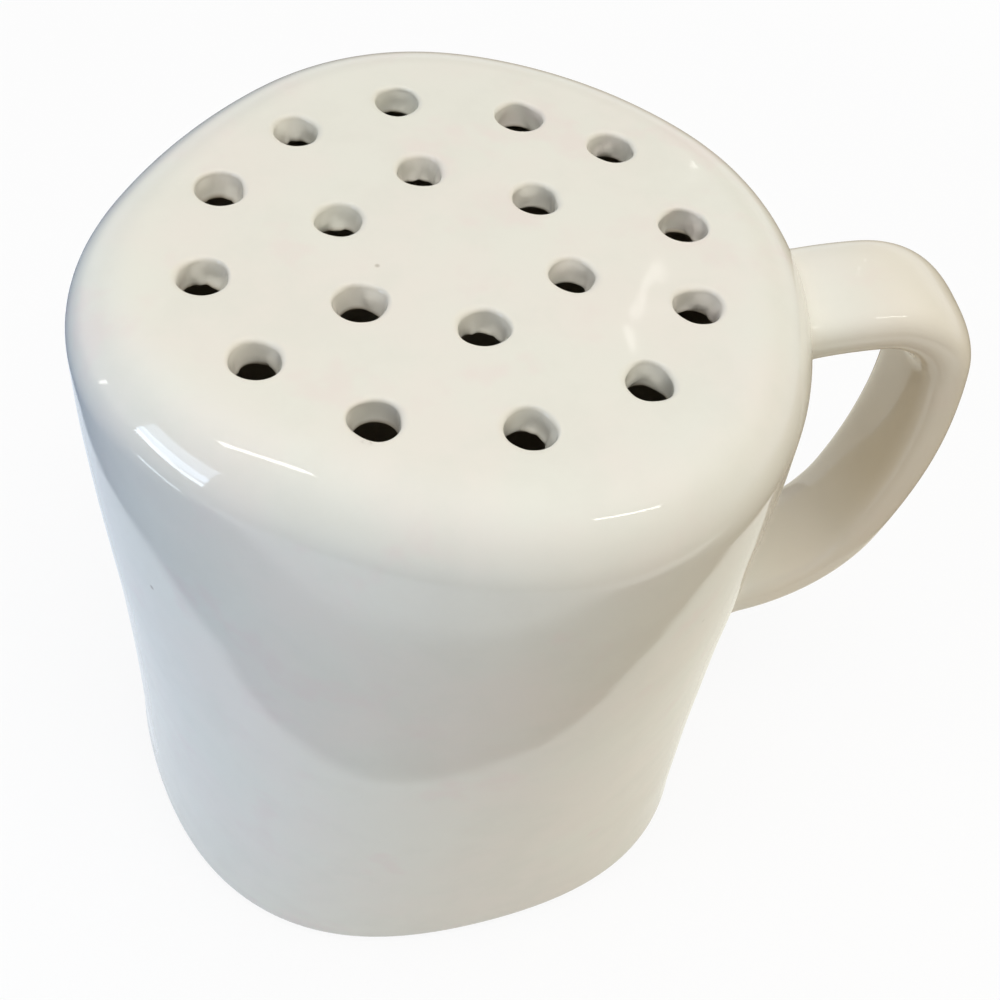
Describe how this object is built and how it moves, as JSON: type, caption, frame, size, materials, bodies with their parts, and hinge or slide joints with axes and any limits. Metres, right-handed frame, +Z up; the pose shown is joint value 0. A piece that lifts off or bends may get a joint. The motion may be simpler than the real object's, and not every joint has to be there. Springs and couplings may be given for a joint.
{
  "type": "grated cheese shaker",
  "caption": "Round glazed ceramic shaker with a perforated top, broad soft shoulder and strap handle, filled through a stoppered hole under its base.",
  "frame": {"origin": "centre of the foot ring, on the surface the shaker stands on", "axes": "+Z up out of the perforated top, +X towards the handle"},
  "size_m": [0.1164, 0.0905, 0.101],
  "materials": {
    "glaze": "glossy cream-white glaze over slip-cast earthenware, unglazed foot ring",
    "silicone": "soft satin milky silicone"
  },
  "bodies": {
    "pot": {"shaker_body": "glaze", "handle": "glaze"},
    "stopper": {"stopper": "silicone"}
  },
  "joints": [
    {"name": "stopper_pull", "type": "slide", "parent": "pot", "child": "stopper", "axis": [0, 0, -1], "range_m": [0, 0.06]}
  ]
}
